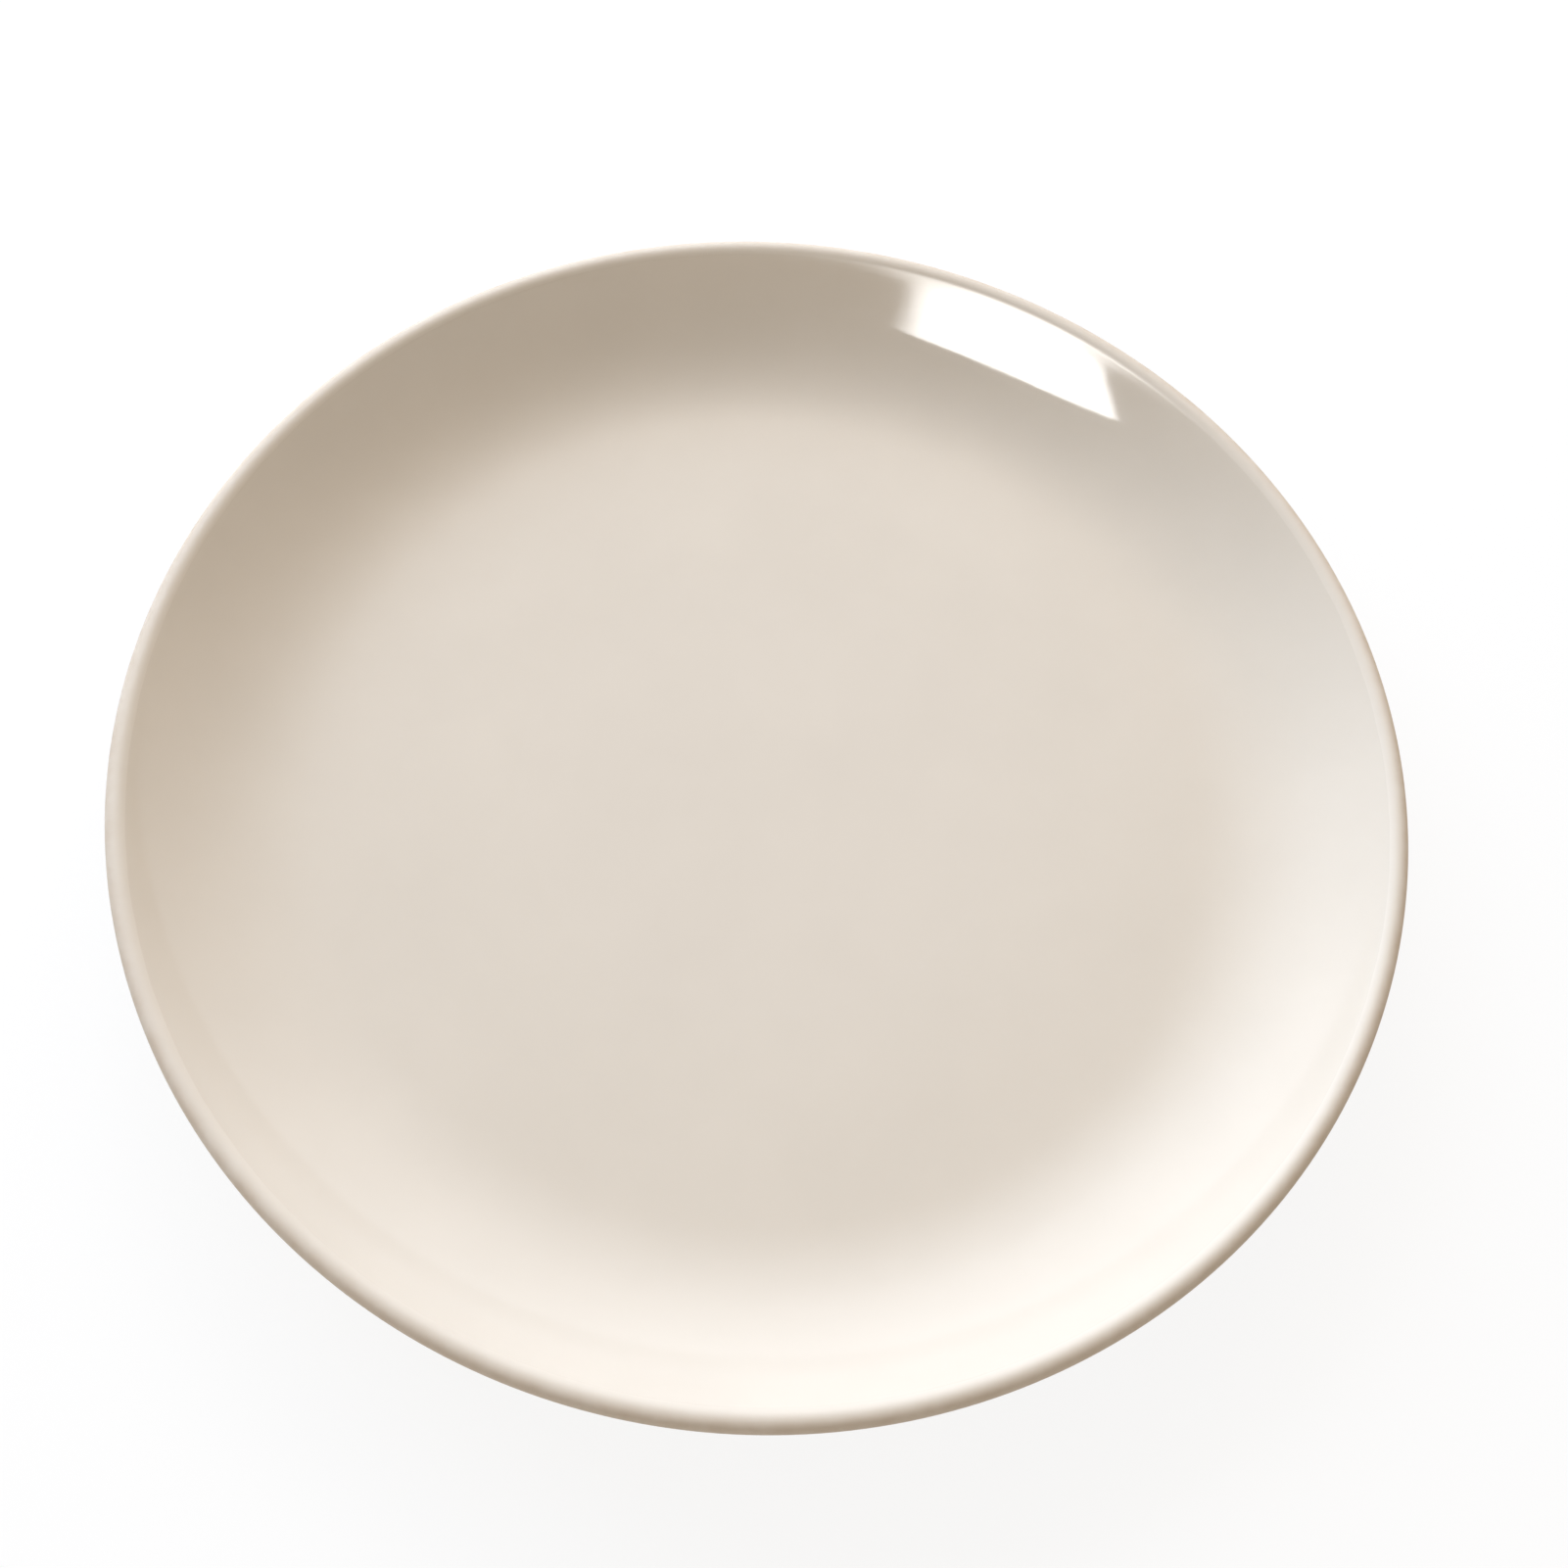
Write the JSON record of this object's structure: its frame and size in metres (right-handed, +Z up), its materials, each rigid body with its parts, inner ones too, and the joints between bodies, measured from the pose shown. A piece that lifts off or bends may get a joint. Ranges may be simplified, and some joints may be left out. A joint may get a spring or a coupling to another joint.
{
  "type": "fruit plate",
  "caption": "Round coupe plate with a flat well, a low flared wall, a rounded lip and a bare foot ring; holds fruit, cake or a light course.",
  "frame": {"origin": "on the table plane, on the plate's turning axis, in the middle of the foot ring", "axes": "+Z up along the turning axis; X and Y are any two level directions, because the plate is round"},
  "size_m": [0.205, 0.205, 0.0226],
  "materials": {
    "fired_clay": "matte",
    "ivory_glaze": "gloss"
  },
  "bodies": {
    "root": {"clay_body": "fired_clay", "glaze_coat": "ivory_glaze", "foot_recess_glaze": "ivory_glaze"}
  },
  "joints": []
}
